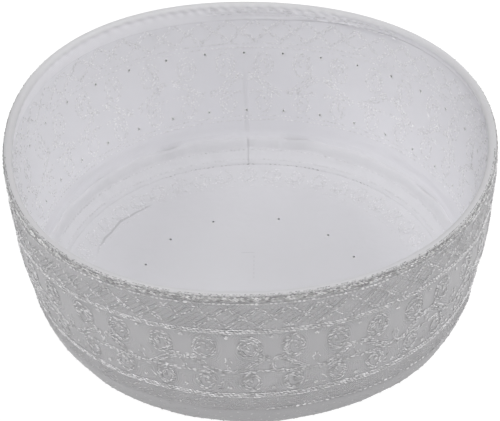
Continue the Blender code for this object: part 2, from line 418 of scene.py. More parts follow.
def lay_cloth(obj, across, run, points):
    """Put a cloth's vertices in their places, and keep where they lie on the flat cloth as its UV map."""
    mesh = obj.data
    layer = mesh.uv_layers[0]
    layer.name = "flat"
    flat = np.column_stack((across, run)).astype(np.float32)
    layer.data.foreach_set("uv", flat[read(mesh.loops, "vertex_index")].ravel())
    set_coordinates(mesh, points)


def flat_cloth(name, columns, rows):
    """A flat grid, and how far across and down it each vertex is, from 0 to 1."""
    deselect_all()
    bpy.ops.mesh.primitive_grid_add(x_subdivisions=columns, y_subdivisions=rows, size=1.0)
    obj = bpy.context.object
    obj.name = obj.data.name = name
    points = coordinates(obj.data)
    return obj, points[:, 0] + 0.5, points[:, 1] + 0.5


def apply_modifier(obj, kind, **settings):
    bpy.context.view_layer.objects.active = obj
    modifier = obj.modifiers.new(kind.lower(), kind)
    for key, value in settings.items():
        setattr(modifier, key, value)
    bpy.ops.object.modifier_apply(modifier=modifier.name)


def thicken(obj, surface, edge_material):
    """Give a wrapped cloth its thickness, with its inner face on the cap's evened-out inside."""
    apply_modifier(obj, "SOLIDIFY", thickness=surface.form.cloth, offset=-1.0, use_even_offset=True,
                   material_offset=1, material_offset_rim=edge_material)
    mesh = obj.data
    points = coordinates(mesh)
    flat = np.zeros((len(points), 2))
    uvs = read(mesh.uv_layers[0].data, "uv", np.float32, 2)
    flat[read(mesh.loops, "vertex_index")] = uvs.reshape(-1, 2)
    half = len(points) // 2
    across, run = flat[half:].T
    points[half:] = surface.point(pattern_angle(across), run, surface.form.cloth)
    set_coordinates(mesh, points)


def close_seam(obj):
    """Sew the two ends of a wrapped cloth together and point its faces out."""
    with editing(obj):
        bpy.ops.mesh.remove_doubles(threshold=0.00002)
        bpy.ops.mesh.normals_make_consistent(inside=False)


def clad(obj, *materials):
    obj.data.materials.clear()
    for one in materials:
        obj.data.materials.append(one)


def finish_piece(obj, slot, *materials):
    if materials:
        clad(obj, *materials)
    deselect_all()
    obj.select_set(True)
    bpy.context.view_layer.objects.active = obj
    bpy.ops.object.shade_smooth_by_angle(angle=math.radians(50.0))
    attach(obj, BODY)
    return obj


def model_stitch(segments=6, rings=3):
    """One rounded stitch, a unit long, wide and high, lying along X."""
    deselect_all()
    bpy.ops.mesh.primitive_uv_sphere_add(segments=segments, ring_count=rings, radius=0.5)
    stitch = bpy.context.object
    stitch.name = "stitch_pattern"
    with editing(stitch):
        bpy.ops.transform.rotate(value=math.pi / 2, orient_axis="Y", center_override=(0, 0, 0))
    with editing(stitch, coordinates(stitch.data)[:, 2] < -0.3):
        bpy.ops.transform.resize(value=(1.0, 1.0, 0.6), center_override=(0, 0, 0))
    return stitch


def stamp_mesh(name, pattern, origins, xs, ys, zs, tones):
    """One joined mesh with a copy of the pattern at each origin, drawn along its three vectors."""
    mesh = pattern.data
    shape = coordinates(mesh)
    corners = read(mesh.loops, "vertex_index")
    starts = read(mesh.polygons, "loop_start")
    uvs = read(mesh.uv_layers[0].data, "uv", np.float32, 2)
    count = len(origins)
    points = (origins[:, None] + shape[None, :, 0:1] * xs[:, None] + shape[None, :, 1:2] * ys[:, None]
              + shape[None, :, 2:3] * zs[:, None])
    copies = np.arange(count)[:, None]
    joined = bpy.data.meshes.new(name)
    joined.vertices.add(count * len(shape))
    joined.loops.add(count * len(corners))
    joined.polygons.add(count * len(starts))
    joined.vertices.foreach_set("co", points.astype(np.float32).ravel())
    joined.loops.foreach_set("vertex_index", (corners + copies * len(shape)).ravel().astype(np.int32))
    joined.polygons.foreach_set("loop_start", (starts + copies * len(corners)).ravel().astype(np.int32))
    joined.uv_layers.new(name="thread").data.foreach_set("uv", np.tile(uvs, count))
    keep_values(joined, "tone", np.repeat(tones, len(shape)))
    joined.update(calc_edges=True)
    joined.validate()
    obj = bpy.data.objects.new(name, joined)
    bpy.context.scene.collection.objects.link(obj)
    bpy.data.objects.remove(pattern, do_unlink=True)
    return obj


# Laying out stitches on the flat pattern: rows of across, run and heading

def laid_along(path, pitch):
    """Stitches laid end to end along a path."""
    legs = np.diff(path, axis=0)
    reach = np.concatenate(([0.0], np.cumsum(np.hypot(legs[:, 0], legs[:, 1]))))
    count = max(1, round(reach[-1] / pitch))
    middles = (np.arange(count) + 0.5) * reach[-1] / count
    leg = np.clip(np.searchsorted(reach, middles) - 1, 0, len(legs) - 1)
    heading = np.arctan2(legs[leg, 1], legs[leg, 0])
    across = np.interp(middles, reach, path[:, 0])
    run = np.interp(middles, reach, path[:, 1])
    return np.column_stack((across, run, heading))


def beside(path, offset):
    """The path moved sideways by an offset."""
    legs = np.gradient(path, axis=0)
    legs /= np.linalg.norm(legs, axis=1, keepdims=True)
    return path + offset * np.column_stack((-legs[:, 1], legs[:, 0]))


def laid_level(stitches):
    """The stitches turned part of the way to lie along the band."""
    level = stitches.copy()
    level[:, 2] = 0.6 * ((level[:, 2] + math.pi / 2) % math.pi - math.pi / 2)
    return level


def mirrored(stitches):
    """The same stitches on the other side of across = 0."""
    across, run, heading = stitches.T
    return np.column_stack((-across, run, math.pi - heading))


def repeated(stitches, step, count):
    moves = np.zeros((count, 1, 3))
    moves[:, 0, 0] = np.arange(count) * step
    return (stitches[None] + moves).reshape(-1, 3)


def ring_row(run, pitch, shift=0.0, tilt=0.0):
    """A row of stitches all the way round, each turned by a tilt; run and pitch are in mm."""
    count = round(BAND_LENGTH / (pitch * MM))
    across = (np.arange(count) + shift) * BAND_LENGTH / count
    return np.column_stack((across, np.full(count, run * MM), np.full(count, tilt)))


def ring_rows(runs, pitch, shifts, tilt=0.0):
    """Several such rows, each moved round by its own share of a stitch."""
    return np.vstack([ring_row(run, pitch, shift, tilt) for run, shift in zip(runs, shifts)])


def filled(paths, offsets, pitch):
    """Rows of stitches along each path, at sideways offsets; offsets and pitch are in mm."""
    rows = [laid_along(beside(path, offset * MM), pitch * MM) for path in paths for offset in offsets]
    return np.vstack(rows)


def turned(first, second, angle):
    """Two directions at right angles, turned by an angle towards the second."""
    sine, cosine = np.sin(angle), np.cos(angle)
    return first * cosine + second * sine, second * cosine - first * sine


def in_metres(stitches):
    """Stitches that are written down in mm."""
    return np.asarray(stitches) * (MM, MM, 1.0)


def between(stitches, first, last):
    """The stitches between two angles round the cap, in degrees."""
    degrees = np.degrees(pattern_angle(stitches[:, 0])) % 360
    return stitches[(degrees > first) & (degrees < last)]


def follow_rows(stitches):
    """Move stitches with the drift of the sewn rows."""
    moved = stitches.copy()
    moved[:, 1] += row_drift(moved[:, 0])
    return moved


def round_band(stitches):
    """A whole repeat of the scroll, set right round the band."""
    return follow_rows(repeated(stitches, 2 * EYELET_STEP, EYELETS // 2))


def round_lattice(stitches):
    """One diamond of the lattice, set right round the band."""
    return follow_rows(repeated(stitches + (LATTICE_FIRST, 0.0, 0.0), LATTICE_STEP, LATTICE_DIAMONDS))


def both_halves(stitches):
    """A half repeat and its mirror image, set right round the band."""
    return round_band(np.vstack((stitches, mirrored(stitches))))


def sew(name, surface, stitches, size, seed, inset=None, over_rim=0.0, jitter=0.15, sink=0.25,
        missing=0.0, lie=0.32, sides=6):
    """Set stitches on the cap as one joined mesh, outside or, at an inset, on the inside.

    The jitter is in mm, sink is the share of their height in the cloth, missing the share left out
    and lie how much they roll. An angle over_rim sets them on the hem's fold, turned up by it.
    """
    random = np.random.default_rng(seed)
    stitches = stitches[random.uniform(0.0, 1.0, len(stitches)) >= missing]
    count = len(stitches)
    across, run, heading = stitches.T
    across = across + random.normal(0.0, jitter * MM, count)
    run = run + random.normal(0.0, jitter * MM * 0.6, count)
    heading = heading + random.normal(0.0, 0.9 * jitter, count)
    depth = surface.fold(over_rim)[1] if over_rim else inset or 0.0
    origins, around, down, out = surface.frames(pattern_angle(across), run, depth)
    down, out = turned(down, out, over_rim)
    if inset is not None:
        out = -out
    along = around * np.cos(heading)[:, None] + down * np.sin(heading)[:, None]
    sideways = np.cross(out, along)
    scale = 1 + random.normal(0.0, 0.13, (count, 3))
    length, width, height = (np.asarray(size) * scale).T[:, :, None]
    origins = origins + out * height * (0.5 - sink)
    roll, pitch = random.normal(0.0, (lie, lie * 0.4), (count, 2)).T[:, :, None]
    sideways, out = turned(sideways, out, roll)
    along, out = turned(along, out, pitch)
    return stamp_mesh(name, model_stitch(sides), origins, along * length, sideways * width, out * height,
                      random.uniform(0.0, 1.0, count))


# Paths of the scroll, for the half repeat that runs from a crest eyelet to the next one

def vine_path():
    across = np.linspace(1.0, EYELET_STEP / MM - 1.0, 40)
    run = 35.0 - 3.9 * np.cos(np.pi * across / (EYELET_STEP / MM))
    return np.column_stack((across, run)) * MM


def curl_path(middle, turns, radii, stem):
    """A spiral through the radii at the given turns, after the points of its stem."""
    turn = np.linspace(turns[0], turns[-1], 60)
    radius = np.interp(turn, turns, radii)
    across = middle[0] + CURL_NARROW * radius * np.cos(turn * FULL_TURN)
    run = middle[1] + radius * np.sin(turn * FULL_TURN)
    return np.vstack((stem, np.column_stack((across, run)))) * MM


def upper_curl():
    return curl_path((8.0, 26.3), (0.40, 0.75, 1.25, 1.75, 2.20), (5.6, 5.2, 4.6, 2.3, 0.9),
                     ((2.6, 32.2), (3.6, 31.2)))


def lower_curl():
    return curl_path((7.4, 42.9), (0.80, 1.00, 1.25, 1.50, 1.80, 2.15), (4.8, 4.7, 4.4, 3.8, 2.1, 0.9),
                     ((1.4, 38.4), (3.4, 38.1), (5.6, 38.3)))


def lattice_paths(top, bottom):
    """The falling and the rising line of one diamond of the lattice."""
    return [np.array(((0.0, start), (LATTICE_STEP, end))) for start, end in ((top, bottom), (bottom, top))]


def blossom_stitches():
    """A small blossom at across 0, petals above and a broad base below."""
    upright = math.pi / 2
    rows = [(0.0, 34.6, upright), (0.0, 36.2, upright), (0.0, 38.3, 0.0)]
    for side in (-1, 1):
        rows += [(side * 0.5, 31.7, upright + side * 0.2), (side * 1.3, 32.9, upright - side * 0.5),
                 (side * 1.0, 34.3, upright + side * 0.4), (side * 0.8, 35.7, upright - side * 0.3),
                 (side * 0.7, 37.2, side * 0.3), (side * 1.6, 38.0, side * 0.2)]
    return in_metres(rows)


# Shader maths

class Value:
    """A node's output, on which plain arithmetic adds Math nodes."""

    def __init__(self, paint, socket):
        self.paint = paint
        self.socket = socket

    def math(self, operation, *others):
        inputs = dict(enumerate((self, *others)))
        return self.paint.node("Math", {"operation": operation}, inputs)

    def __add__(self, other):
        return self.math("ADD", other)

    def __sub__(self, other):
        return self.math("SUBTRACT", other)

    def __rsub__(self, other):
        return (self * -1.0) + other

    def __mul__(self, other):
        return self.math("MULTIPLY", other)

    def __truediv__(self, other):
        return self.math("DIVIDE", other)

    __radd__ = __add__

    def clamped(self):
        """The value kept between 0 and 1."""
        return self.math("MINIMUM", 1.0).math("MAXIMUM", 0.0)

    def within(self, low, high, soft):
        """1 between low and high, with soft edges."""
        return ((self - low) / soft).clamped() * ((self * -1.0 + high) / soft).clamped()


class Paint:
    """A new material with a Principled shader, and the one method that adds nodes to it."""

    def __init__(self, name, roughness, specular=0.5, sheen=0.0):
        self.material = bpy.data.materials.new(name)
        self.material.use_nodes = True
        self.tree = self.material.node_tree
        self.shader = self.tree.nodes["Principled BSDF"]
        self.shader.inputs["Roughness"].default_value = roughness
        self.shader.inputs["Specular IOR Level"].default_value = specular
        self.shader.inputs["Sheen Weight"].default_value = sheen
        self.shader.inputs["Sheen Roughness"].default_value = 0.5

    def node(self, kind, settings=None, inputs=None, output=0):
        node = self.tree.nodes.new("ShaderNode" + kind)
        for key, value in (settings or {}).items():
            setattr(node, key, value)
        for name, value in (inputs or {}).items():
            self.feed(node.inputs[name], value)
        return Value(self, node.outputs[output])

    def feed(self, socket, value):
        if isinstance(value, Value):
            self.tree.links.new(value.socket, socket)
        else:
            socket.default_value = value

    def parts(self, vector):
        """The first two parts of a vector."""
        first = self.node("SeparateXYZ", inputs={0: vector})
        return first, Value(self, first.socket.node.outputs[1])

    def flat_place(self):
        """Across and run on the flat cloth, in mm."""
        across, run = self.parts(self.node("UVMap", {"uv_map": "flat"}))
        return across * IN_MM, run * IN_MM

    def kept(self, name):
        """A number that is kept at each vertex."""
        return self.node("Attribute", {"attribute_name": name}, output=2)

    def object_place(self):
        return self.node("TexCoord", output=3)

    def noise(self, scale, detail):
        """Noise from 0 to 1; scale is in cycles a metre."""
        inputs = {"Scale": scale, "Detail": detail, "Vector": self.object_place()}
        return self.node("TexNoise", inputs=inputs)

    def wave(self, value, length):
        """Smooth ridges from 0 to 1, a length apart."""
        return (value * (FULL_TURN / length)).math("SINE") * 0.5 + 0.5

    def mix(self, factor, first, second):
        """Mix two colours."""
        return self.node("Mix", {"data_type": "RGBA"}, {0: factor, 6: first, 7: second}, output=2)

    def bump(self, height, distance, strength=1.0, below=None):
        inputs = {"Height": height, "Distance": distance, "Strength": strength}
        if below is not None:
            inputs["Normal"] = below
        return self.node("Bump", inputs=inputs)

    def colour(self, value):
        self.feed(self.shader.inputs["Base Color"], value)

    def normal(self, value):
        self.feed(self.shader.inputs["Normal"], value)

    def roughness(self, value):
        self.feed(self.shader.inputs["Roughness"], value)


def rgba(colour, share=1.0):
    return (colour[0] * share, colour[1] * share, colour[2] * share, 1.0)


def weave_height(across, run, pitch):
    """Plain weave: over and under threads along both ways of the cloth."""
    warp = (across * (math.pi / pitch)).math("SINE")
    weft = (run * (math.pi / pitch)).math("SINE")
    return warp * weft * 0.5 + 0.5


def outside_cotton(name, colours):
    """Ground of the band outside: close weave, quilted between the sewn rows and grooved along them, its
    colour greyed and darkened with painted shade.
    """
    paint = Paint(name, 0.62, specular=0.4, sheen=0.1)
    across, run = paint.flat_place()
    echo = paint.kept("echo") * IN_MM
    level = paint.kept("level") * IN_MM
    slubs = paint.noise(420.0, 4.0)
    patches = paint.noise(38.0, 2.0)
    broken = (paint.noise(90.0, 2.0) * 2.4 - 0.5).clamped()
    hatch = paint.wave(across + slubs * 0.5, 0.8)
    beside_eyelet = across.math("PINGPONG", EYELET_STEP / MM / 2)
    plain = (beside_eyelet * -0.5 + 1.9).clamped() * ((level - 30.5).math("ABSOLUTE") * -0.5 + 5.2).clamped()
    worked = 1.0 - plain
    stitched = paint.wave(echo, 0.85) * broken * worked
    scroll = level.within(*SCROLL_BAND, 1.0)
    # Painted shade: darker beside the scroll's lines, along the lattice's slanting lines, under the rim as a
    # painted shadow, and over the crown seam.
    scroll_shade = (echo * -1.3 + 1.5).clamped() * scroll * 0.35
    slant = across + level * LATTICE_LEAN + slubs * 0.8
    lattice = level.within(*LATTICE_BAND, 0.8)
    lattice_shade = (paint.wave(slant, LATTICE_STEP / MM / 4) * 4.0 - 3.1).clamped() * lattice
    rim_shadow = (run * -1.0 + 3.2).clamped() * 0.8
    seam = (run * 2.0 - 114.4).clamped() * (across - SEAM_SHOWS).clamped() * 0.6
    # drawn gathers this painted shade for the colour, and sinks the same places as grooves in the bump.
    drawn = (scroll_shade + lattice_shade * broken + rim_shadow + seam).clamped()
    colour = colours.outside
    # Random patches, and lighter and darker ripples along the sewn lines as painted shade of the quilting.
    ground = paint.mix(patches * 0.3 + stitched * 0.5, rgba(colour, 0.86), rgba(colour, 1.16))
    # Painted shade: darker low on the wall, below the scroll.
    lower_wall_shade = (run * 0.2 - 10.2).clamped()
    ground = paint.mix(lower_wall_shade, ground, rgba(colour, 0.85))
    paint.colour(paint.mix(drawn * 0.5, ground, rgba(colour, 0.55)))
    paint.roughness(0.50 + slubs * 0.2)
    weave = paint.bump(weave_height(across, run, 0.42), 0.00006)
    quilted = paint.bump(stitched + hatch * worked * 0.2 - drawn * 0.8, 0.00030, below=weave)
    paint.normal(paint.bump(slubs, 0.00030, 0.7, below=quilted))
    return paint.material


def inside_cotton(name, colours):
    """Wrong side of the embroidered cloth: smooth backing, with painted shade along its back seam."""
    paint = Paint(name, 0.7, specular=0.3, sheen=0.2)
    across, run = paint.flat_place()
    patches = paint.noise(24.0, 2.0)
    slubs = paint.noise(500.0, 4.0)
    ground = paint.mix(patches, rgba(colours.inside, 0.97), rgba(colours.inside, 1.03))
    wander = paint.noise(60.0, 2.0) * 1.2 - 0.6
    # Painted shade: darker along the back seam, over the groove that the bump gives it.
    seam = (across.math("PINGPONG", BAND_LENGTH / MM / 2) + wander).math("ABSOLUTE") * -1.4 + 1.5
    seam = seam.clamped() * run.within(26.0, 60.0, 8.0)
    paint.colour(paint.mix(seam * 0.10, ground, rgba(colours.inside, 0.45)))
    paint.roughness(0.6 + slubs * 0.2)
    weave = paint.bump(weave_height(across, run, 0.40) - seam * 3.0, 0.00004)
    paint.normal(paint.bump(slubs, 0.0001, 0.5, below=weave))
    return paint.material


def crown_cotton(name, colour, at_wall, marked):
    """Quilted cloth of the crown, darkened with painted shade from the wall towards its middle and along a
    crease, and with marks of its inside where it is marked.
    """
    paint = Paint(name, 0.68, specular=0.3, sheen=0.15)
    place = paint.object_place()
    x, y = (part * IN_MM for part in paint.parts(place))
    patches = paint.noise(30.0, 2.0)
    quilting = paint.noise(330.0, 2.0)
    run = paint.flat_place()[1]
    # Painted shade: from the colour of the wall's cloth to the darker crown colour.
    ground = paint.mix(((run - 60.0) / 14.0).clamped(), rgba(at_wall), rgba(colour))
    ground = paint.mix(patches * 0.15, ground, rgba(colour, 0.75))
    if marked:
        left, back = x - CREASE_MIDDLE[0], y - CREASE_MIDDLE[1]
        wander = paint.noise(120.0, 2.0) * 1.6 - 0.8
        # Painted shade along a crease of the crown's cloth.
        crease = ((left * left + back * back).math("SQRT") + wander).within(*CREASE_RADII, 0.35)
        crease = crease * left.within(*CREASE_SHOWS[0], 3.0) * back.within(*CREASE_SHOWS[1], 3.0)
        tick = x.within(*TICK[0], 0.4) * y.within(*TICK[1], 0.3)
        dashes = (x + y * -0.02).within(*DASHES[0], 0.3) * y.within(*DASHES[1], 1.0)
        dashes = dashes * paint.wave(y, DASH_STEP)
        smudge = paint.node("VectorMath", {"operation": "DISTANCE"},
                            {0: place, 1: SMUDGE_PLACE}, output=1) * IN_MM
        smudge = (smudge * -0.3 + 1.4 + wander * 0.4).clamped()
        # The crease's darkening is painted shade and the smudge is a stain; tick and dashes darken a short
        # line and a dashed line.
        marks = crease * 0.45 + tick * 0.18 + dashes * 0.15 + smudge * 0.22
        ground = paint.mix(marks, ground, rgba(colour, 0.45))
    paint.colour(ground)
    weave = paint.bump(weave_height(x, y, 0.42), 0.00004)
    paint.normal(paint.bump(quilting, 0.00025, 0.6, below=weave))
    return paint.material


def cut_edge(name, colour):
    """Raw edge of the cloth, in the eyelets and at the seam, darkened as painted shade in the holes and the
    seam gap.
    """
    paint = Paint(name, 0.9, specular=0.1)
    frayed = paint.noise(900.0, 3.0)
    paint.colour(paint.mix(frayed, rgba(colour, 0.5), rgba(colour, 0.8)))
    return paint.material


def facing_cotton(name, colour, folded):
    """Plain cotton of the hem and tape, with painted shade: greyer on the top of its fold over the rim,
    darkest on its leg outside under the rim, and lighter and darker with its creases.
    """
    paint = Paint(name, 0.72, specular=0.3, sheen=0.15)
    across, run = paint.flat_place()
    creases = paint.noise(160.0, 3.0)
    fold = paint.kept("fold")
    shaded = paint.mix(creases, rgba(colour, 0.96), rgba(colour, 1.03))
    # fold up to 1 is the share of painted shade on the fold's top; 2 marks the leg outside, with its painted
    # shadow under the rim.
    over_rim = paint.mix(fold.clamped(), shaded, rgba(folded))
    paint.colour(paint.mix((fold - 1.0).clamped(), over_rim, rgba(folded, 0.55)))
    weave = paint.bump(weave_height(across, run, 0.36), 0.00004)
    paint.normal(paint.bump(creases, 0.0004, 0.5, below=weave))
    return paint.material


def silk_thread(name, colour, roughness, specular, darkest, coat):
    """Glossy embroidery thread, with the twist of its plies and a little change from stitch to stitch."""
    paint = Paint(name, roughness, specular=specular, sheen=0.1)
    around, along = paint.parts(paint.node("UVMap", {"uv_map": "thread"}))
    twist = paint.wave(around * 2.0 + along * 5.0, 1.0)
    tone = paint.kept("tone")
    paint.colour(paint.mix(tone, rgba(colour, darkest), rgba(colour, 1.80 - darkest)))
    paint.roughness(roughness - 0.10 + tone * 0.20)
    paint.shader.inputs["Coat Weight"].default_value = coat
    paint.shader.inputs["Coat Roughness"].default_value = 0.22
    paint.normal(paint.bump(twist, 0.00005, 0.7))
    return paint.material


def material(make, name, *values):
    """The named material, made the first time that it is asked for."""
    return bpy.data.materials.get(name) or make(name, *values)


def thread_material(context, name):
    """One of the threads, in its share of a colour of the scene."""
    key, share, *finish = THREADS[name]
    colour = tuple(share * part for part in getattr(context.scene.cap_colours, key))
    return material(silk_thread, name, colour, *finish)


def echo_distances(across, run):
    """Distance from each place on the band to the nearest line of the scroll or the lattice."""
    paths = (vine_path(), upper_curl(), lower_curl())
    points = np.vstack([laid_along(path, 0.5 * MM)[:, :2] for path in paths])
    mirror = points * (-1.0, 1.0)
    beyond = (2 * EYELET_STEP, 0.0) - points * (1.0, -1.0)
    points = np.vstack((points, mirror, beyond))
    folded = np.abs((across + EYELET_STEP) % (2 * EYELET_STEP) - EYELET_STEP)
    places = np.column_stack((folded, run - row_drift(across)))
    parts = np.array_split(places, 20)
    nearest = np.concatenate([np.linalg.norm(part[:, None] - points, axis=2).min(axis=1) for part in parts])
    share = (across - LATTICE_FIRST) / LATTICE_STEP
    fall = (places[:, 1] - LATTICE_TOP) / (LATTICE_BOTTOM - LATTICE_TOP)
    from_lines = [np.abs((share + way * fall + 0.5) % 1 - 0.5) for way in (-1, 1)]
    lattice = np.minimum(*from_lines) * LATTICE_STEP / math.hypot(1.0, LATTICE_LEAN)
    past_lattice = np.maximum(places[:, 1] - LATTICE_BOTTOM - 1.0 * MM, 0.0)
    return np.minimum(nearest, lattice + past_lattice)


def sew_piece(context, name, stitches, size, seed, thread, slot="side_band", **sewing):
    """Sew the stitches on the cap as one piece, in the named thread."""
    obj = sew(name, CapSurface(context.scene.cap_form), stitches, size, seed, **sewing)
    finish_piece(obj, slot, thread_material(context, thread))


class CapPiece:
    """What the operators for pieces share."""
    bl_options = {"REGISTER", "UNDO"}

    def surface(self, context):
        return CapSurface(context.scene.cap_form)


class CAP_OT_side_band(CapPiece, bpy.types.Operator):
    """Wrap the embroidered band and pierce its eyelets"""
    bl_idname = "prayer_cap.side_band"
    bl_label = "Side band"

    def execute(self, context):
        surface = self.surface(context)
        knots = (BAND_TOP, *EYELET_ROWS, surface.run_at(SEAM_TURN) - SEAM_GAP / 2)
        rows = [round((b - a) / MM) for a, b in zip(knots, knots[1:])]
        marks = np.concatenate(([0.0], np.cumsum(rows))) / sum(rows)
        columns = EYELETS * round(EYELET_STEP / MM)
        band, share_across, share_down = flat_cloth("side_band_cloth", columns, sum(rows))
        across = share_across * BAND_LENGTH
        run = np.interp(share_down, marks, knots)
        holes = np.zeros(len(run), bool)
        for row in EYELET_ROWS:
            off = (across + EYELET_STEP / 2) % EYELET_STEP - EYELET_STEP / 2
            from_hole = np.hypot(off, run - row)
            holes |= from_hole < AT_EYELET
            edge = (from_hole > AT_EYELET) & (from_hole < EYELET_PINCH)
            pull = np.where(edge, EYELET_RADIUS / np.maximum(from_hole, AT_EYELET), 1.0)
            across = across + off * (pull - 1)
            run = row + (run - row) * pull
        keep_values(band.data, "echo", echo_distances(across, run))
        keep_values(band.data, "level", run - row_drift(across))
        lay_cloth(band, across, run, surface.point(pattern_angle(across), run))
        with editing(band, holes):
            bpy.ops.mesh.delete(type="VERT")
        close_seam(band)
        colours = context.scene.cap_colours
        clad(band, material(outside_cotton, "outside_cotton", colours),
             material(inside_cotton, "inside_cotton", colours),
             material(cut_edge, "cut_edge", colours.thread))
        thicken(band, surface, 2)
        finish_piece(band, "side_band")
        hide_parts("side_band")
        return {"FINISHED"}


class CAP_OT_crown(CapPiece, bpy.types.Operator):
    """Turn the crown cloth over the rounded edge and pierce its ring of eyelets"""
    bl_idname = "prayer_cap.crown"
    bl_label = "Crown"

    def execute(self, context):
        surface = self.surface(context)
        colours = context.scene.cap_colours
        start = surface.run_at(SEAM_TURN) - SEAM_GAP / 2 - 0.5 * MM
        stop = surface.edge_end + FLAT_RUN
        crown, share_across, share_down = flat_cloth("crown_cloth", 324, 54)
        across = share_across * BAND_LENGTH
        run = start + (stop - start) * share_down
        tucked = 0.15 * MM * (1 - smooth_step(start + 0.4 * MM, start + 1.4 * MM, run))
        lay_cloth(crown, across, run, surface.point(pattern_angle(across), run, tucked))
        close_seam(crown)
        # Painted shade: the crown's outside starts darker than the band's outside and darkens towards the
        # middle.
        at_wall = tuple(0.85 * part for part in colours.outside)
        clad(crown, material(crown_cotton, "crown_outside", colours.underside, at_wall, False),
             material(crown_cotton, "crown_inside", colours.crown_inside, colours.inside, True))
        thicken(crown, surface, 1)
        punches = self.punches()
        apply_modifier(crown, "BOOLEAN", operation="DIFFERENCE", object=punches)
        bpy.data.objects.remove(punches, do_unlink=True)
        finish_piece(crown, "crown_panel")
        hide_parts("crown_panel")
        return {"FINISHED"}

    def punches(self):
        """The cutters of the crown's eyelets, joined into one object."""
        deselect_all()
        places = []
        for side in (1, -1):
            for degrees in CROWN_EYELET_DEGREES:
                way = side * math.radians(degrees)
                spoke = Vector((math.cos(way), math.sin(way), 0.0))
                places.append(Vector((*CROWN_EYELET_MIDDLE, 0.001)) + CROWN_EYELET_RING * spoke)
        bpy.ops.mesh.primitive_cylinder_add(
            vertices=12, radius=EYELET_RADIUS, depth=0.008, location=places[0])
        first = bpy.context.object
        for place in places[1:]:
            copy = first.copy()
            copy.data = first.data.copy()
            copy.location = place
            bpy.context.scene.collection.objects.link(copy)
            copy.select_set(True)
        bpy.context.view_layer.objects.active = first
        bpy.ops.object.join()
        bpy.ops.object.transform_apply(location=True, rotation=True, scale=True)
        return first


class CAP_OT_rim_hem(CapPiece, bpy.types.Operator):
    """Fold the hem strip over the rim, deeper at the nape and puckered where it turns"""
    bl_idname = "prayer_cap.rim_hem"
    bl_label = "Rim hem"

    def execute(self, context):
        surface = self.surface(context)
        form = context.scene.cap_form
        section = self.section(surface)
        hem, share_across, share_down = flat_cloth("rim_hem_cloth", 720, len(section) - 1)
        across = share_across * BAND_LENGTH
        angle = pattern_angle(across)
        degrees = np.degrees(angle) % 360
        rows = share_down * (len(section) - 1)
        run, inset = (np.interp(rows, np.arange(len(section)), line) for line in section.T)
        at_nape = smooth_step(*HEM_DEEPENS, degrees) - smooth_step(*HEM_NARROWS, degrees)
        drop = BROW_HEM + (NAPE_HEM - BROW_HEM) * at_nape
        on_leg = (run > FOLD_CORNER) & (inset > form.cloth)
        run = run + on_leg * (run - FOLD_CORNER) / HEM_LEG * (drop - FOLD_CORNER - HEM_LEG)
        lower_edge = (rows > LOWER_EDGE_ROWS[0]) * (rows < LOWER_EDGE_ROWS[1])
        inset = inset + lower_edge * 0.15 * MM * (1 - smooth_step(88, 96, degrees))
        creases = across / HEM_CREASE_STEPS[0] + run / HEM_CREASE_STEPS[1]
        folds = np.sin(FULL_TURN * creases + 2.5 * np.sin(7 * angle))
        strength = 0.20 + 0.20 * np.sin(5 * angle + 1.0) * np.sin(11 * angle)
        strength = strength + 0.9 * np.exp(-((degrees - 88) / 24) ** 2)
        faces_in = inset > surface.lined + 0.5 * form.facing
        depth = np.exp(-((run - 1.5 * MM) / (1.5 * MM)) ** 2) * faces_in
        inset = inset + HEM_CREASE_HEIGHT * folds * strength * depth
        # Share of painted shade on the fold's top, more at the front than at the back; the leg outside gets
        # 2, for its painted shadow under the rim.
        front_shade_share = 0.75 + 0.25 * smooth_step(-0.75, -0.1, -np.sin(angle))
        fold_shade_share = (1 - smooth_step(0.4 * MM, 2.4 * MM, run)) * front_shade_share
        keep_values(hem.data, "fold", np.where(inset < 0.12 * MM, 2.0, fold_shade_share))
        lay_cloth(hem, across, run + inset, surface.point(angle, run, inset))
        close_seam(hem)
        colours = context.scene.cap_colours
        finish_piece(hem, "rim_hem", material(facing_cotton, "hem_cotton", colours.facing, colours.rim))
        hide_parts("rim_hem")
        return {"FINISHED"}

    def section(self, surface):
        """Run and inset round the strip: over the fold, down the leg and back up between the cloths."""
        inner = surface.lined + surface.form.facing
        fold = np.column_stack(surface.fold(np.linspace(0.0, math.pi, 11)))
        share = np.arange(1, 11) / 10
        leg = np.column_stack((FOLD_CORNER + HEM_LEG * share, inner - HEM_THINNING * share ** 1.2))
        back = ((FOLD_CORNER + HEM_LEG, surface.form.cloth), (3.0 * MM, surface.lined),
                (HEM_OUTSIDE, surface.lined))
        return np.vstack(((HEM_OUTSIDE, 0.0), fold, leg, back, (HEM_OUTSIDE, 0.0)))


